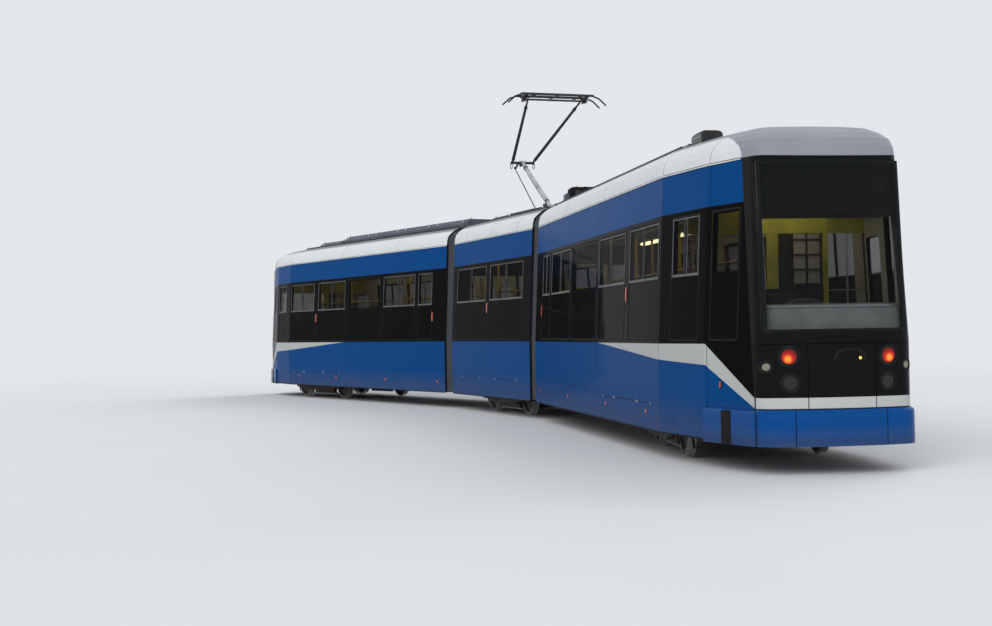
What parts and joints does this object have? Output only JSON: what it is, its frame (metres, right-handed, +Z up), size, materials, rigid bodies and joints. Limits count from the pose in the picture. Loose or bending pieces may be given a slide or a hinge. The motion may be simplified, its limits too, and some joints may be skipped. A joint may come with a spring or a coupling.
{
  "type": "articulated low-floor tram",
  "caption": "Articulated low-floor street tram with hinged end sections, swivelling bogies, glazed cabin and a half pantograph, shown bent as on a curve.",
  "frame": {"origin": "rail-top level under the centre of the middle section", "axes": "+X forward along the middle section, +Y left, +Z up; both end sections bend towards +Y"},
  "size_m": [25.716, 3.9813, 5.6021],
  "materials": {
    "body_paint": "gloss blue with a black window band and a pale stripe",
    "roof_paint": "gloss off-white edge, grey end dome",
    "black_gloss": "gloss black",
    "glass": "tinted",
    "bumper_paint": "gloss blue",
    "lamp_lens": "clear over red",
    "display_black": "matt black",
    "underframe": "matt dark grey",
    "seat_fabric": "woven",
    "pole_yellow": "gloss yellow",
    "desk_black": "grained",
    "roof_gear_grey": "satin dark grey",
    "bogie_steel": "matt, dusty",
    "wheel_steel": "bright tread, dull web",
    "bellows_rubber": "pleated",
    "pantograph_grey": "satin grey",
    "pantograph_black": "satin black"
  },
  "bodies": {
    "middle_car": {"middle_body": "body_paint", "middle_roof": "roof_paint", "middle_side_glass": "glass", "middle_floor": "underframe", "middle_seats": "seat_fabric", "middle_poles": "pole_yellow", "middle_roof_gear": "roof_gear_grey", "front_bellows": "bellows_rubber", "rear_bellows": "bellows_rubber", "pantograph_base": "pantograph_grey"},
    "front_car": {"front_body": "body_paint", "front_roof": "roof_paint", "front_mask": "black_gloss", "front_windscreen": "glass", "front_side_glass": "glass", "front_doors": "body_paint", "front_bumper": "bumper_paint", "front_lamps": "lamp_lens", "front_display": "display_black", "front_floor": "underframe", "front_seats": "seat_fabric", "front_poles": "pole_yellow", "front_desk": "desk_black", "front_roof_gear": "roof_gear_grey"},
    "front_bogie": {"front_bogie": "bogie_steel"},
    "front_outer_wheelset": {"front_outer_wheelset": "wheel_steel"},
    "front_inner_wheelset": {"front_inner_wheelset": "wheel_steel"},
    "rear_car": {"rear_body": "body_paint", "rear_roof": "roof_paint", "rear_mask": "black_gloss", "rear_windscreen": "glass", "rear_side_glass": "glass", "rear_doors": "body_paint", "rear_bumper": "bumper_paint", "rear_lamps": "lamp_lens", "rear_display": "display_black", "rear_floor": "underframe", "rear_seats": "seat_fabric", "rear_poles": "pole_yellow", "rear_desk": "desk_black", "rear_roof_gear": "roof_gear_grey"},
    "rear_bogie": {"rear_bogie": "bogie_steel"},
    "rear_outer_wheelset": {"rear_outer_wheelset": "wheel_steel"},
    "rear_inner_wheelset": {"rear_inner_wheelset": "wheel_steel"},
    "middle_bogie": {"middle_bogie": "bogie_steel"},
    "middle_front_left_wheel": {"middle_front_left_wheel": "wheel_steel"},
    "middle_front_right_wheel": {"middle_front_right_wheel": "wheel_steel"},
    "middle_rear_left_wheel": {"middle_rear_left_wheel": "wheel_steel"},
    "middle_rear_right_wheel": {"middle_rear_right_wheel": "wheel_steel"},
    "pantograph_lower_arm": {"pantograph_lower_arm": "pantograph_grey"},
    "pantograph_rod": {"pantograph_rod": "pantograph_grey"},
    "pantograph_upper_arm": {"pantograph_upper_arm": "pantograph_black"},
    "pantograph_head": {"pantograph_head": "pantograph_black"}
  },
  "joints": [
    {"name": "front_articulation", "type": "hinge", "parent": "middle_car", "child": "front_car", "pos_m": [2.419, 0, 0.345], "axis": [0, 0, 1], "range_deg": [-31.5, 10.4], "deforming": ["front_bellows"]},
    {"name": "front_bogie_pivot", "type": "hinge", "parent": "front_car", "child": "front_bogie", "pos_m": [9.44699, 1.31525, 0.45], "axis": [0, 0, 1], "range_deg": [-15.3, 4.7]},
    {"name": "front_outer_axle", "type": "hinge", "parent": "front_bogie", "child": "front_outer_wheelset", "pos_m": [10.31255, 1.56181, 0.295], "axis": [-0.274, 0.9617, 0], "continuous": true},
    {"name": "front_inner_axle", "type": "hinge", "parent": "front_bogie", "child": "front_inner_wheelset", "pos_m": [8.58142, 1.06869, 0.295], "axis": [-0.274, 0.9617, 0], "continuous": true},
    {"name": "rear_articulation", "type": "hinge", "parent": "middle_car", "child": "rear_car", "pos_m": [-2.419, 0, 0.345], "axis": [0, 0, -1], "range_deg": [-31.5, 10.4], "deforming": ["rear_bellows"]},
    {"name": "rear_bogie_pivot", "type": "hinge", "parent": "rear_car", "child": "rear_bogie", "pos_m": [-9.44927, 1.30298, 0.45], "axis": [0, 0, -1], "range_deg": [-15.3, 4.7]},
    {"name": "rear_outer_axle", "type": "hinge", "parent": "rear_bogie", "child": "rear_outer_wheelset", "pos_m": [-10.31527, 1.54804, 0.295], "axis": [0.2723, 0.9622, 0], "continuous": true},
    {"name": "rear_inner_axle", "type": "hinge", "parent": "rear_bogie", "child": "rear_inner_wheelset", "pos_m": [-8.58328, 1.05793, 0.295], "axis": [0.2723, 0.9622, 0], "continuous": true},
    {"name": "middle_bogie_pivot", "type": "hinge", "parent": "middle_car", "child": "middle_bogie", "pos_m": [0, 0, 0.24], "axis": [0, 0, 1], "range_deg": [-6, 6]},
    {"name": "middle_front_left_axle", "type": "hinge", "parent": "middle_bogie", "child": "middle_front_left_wheel", "pos_m": [0.9, 0.745, 0.295], "axis": [0, 1, 0], "continuous": true},
    {"name": "middle_front_right_axle", "type": "hinge", "parent": "middle_bogie", "child": "middle_front_right_wheel", "pos_m": [0.9, -0.745, 0.295], "axis": [0, 1, 0], "continuous": true},
    {"name": "middle_rear_left_axle", "type": "hinge", "parent": "middle_bogie", "child": "middle_rear_left_wheel", "pos_m": [-0.9, 0.745, 0.295], "axis": [0, 1, 0], "continuous": true},
    {"name": "middle_rear_right_axle", "type": "hinge", "parent": "middle_bogie", "child": "middle_rear_right_wheel", "pos_m": [-0.9, -0.745, 0.295], "axis": [0, 1, 0], "continuous": true},
    {"name": "pantograph_raise", "type": "hinge", "parent": "middle_car", "child": "pantograph_lower_arm", "pos_m": [-0.05, 0, 3.64], "axis": [0, -1, 0], "range_deg": [-26.3, 19.7]},
    {"name": "pantograph_knee", "type": "hinge", "parent": "pantograph_lower_arm", "child": "pantograph_upper_arm", "pos_m": [1.35248, 0, 4.56126], "axis": [0, -1, 0], "range_deg": [-40, 53]},
    {"name": "pantograph_head_pivot", "type": "hinge", "parent": "pantograph_upper_arm", "child": "pantograph_head", "pos_m": [-0.35052, 0, 5.48207], "axis": [0, -1, 0], "range_deg": [-27, 20]},
    {"name": "pantograph_rod_pivot", "type": "hinge", "parent": "middle_car", "child": "pantograph_rod", "pos_m": [0.4, 0.1, 3.605], "axis": [0, -1, 0], "range_deg": [-30, 22.5]}
  ],
  "couplings": [
    {"joint": "pantograph_knee", "follows": "pantograph_raise", "ratio": -2},
    {"joint": "pantograph_head_pivot", "follows": "pantograph_raise", "ratio": 1},
    {"joint": "pantograph_rod_pivot", "follows": "pantograph_raise", "ratio": 1.113}
  ]
}
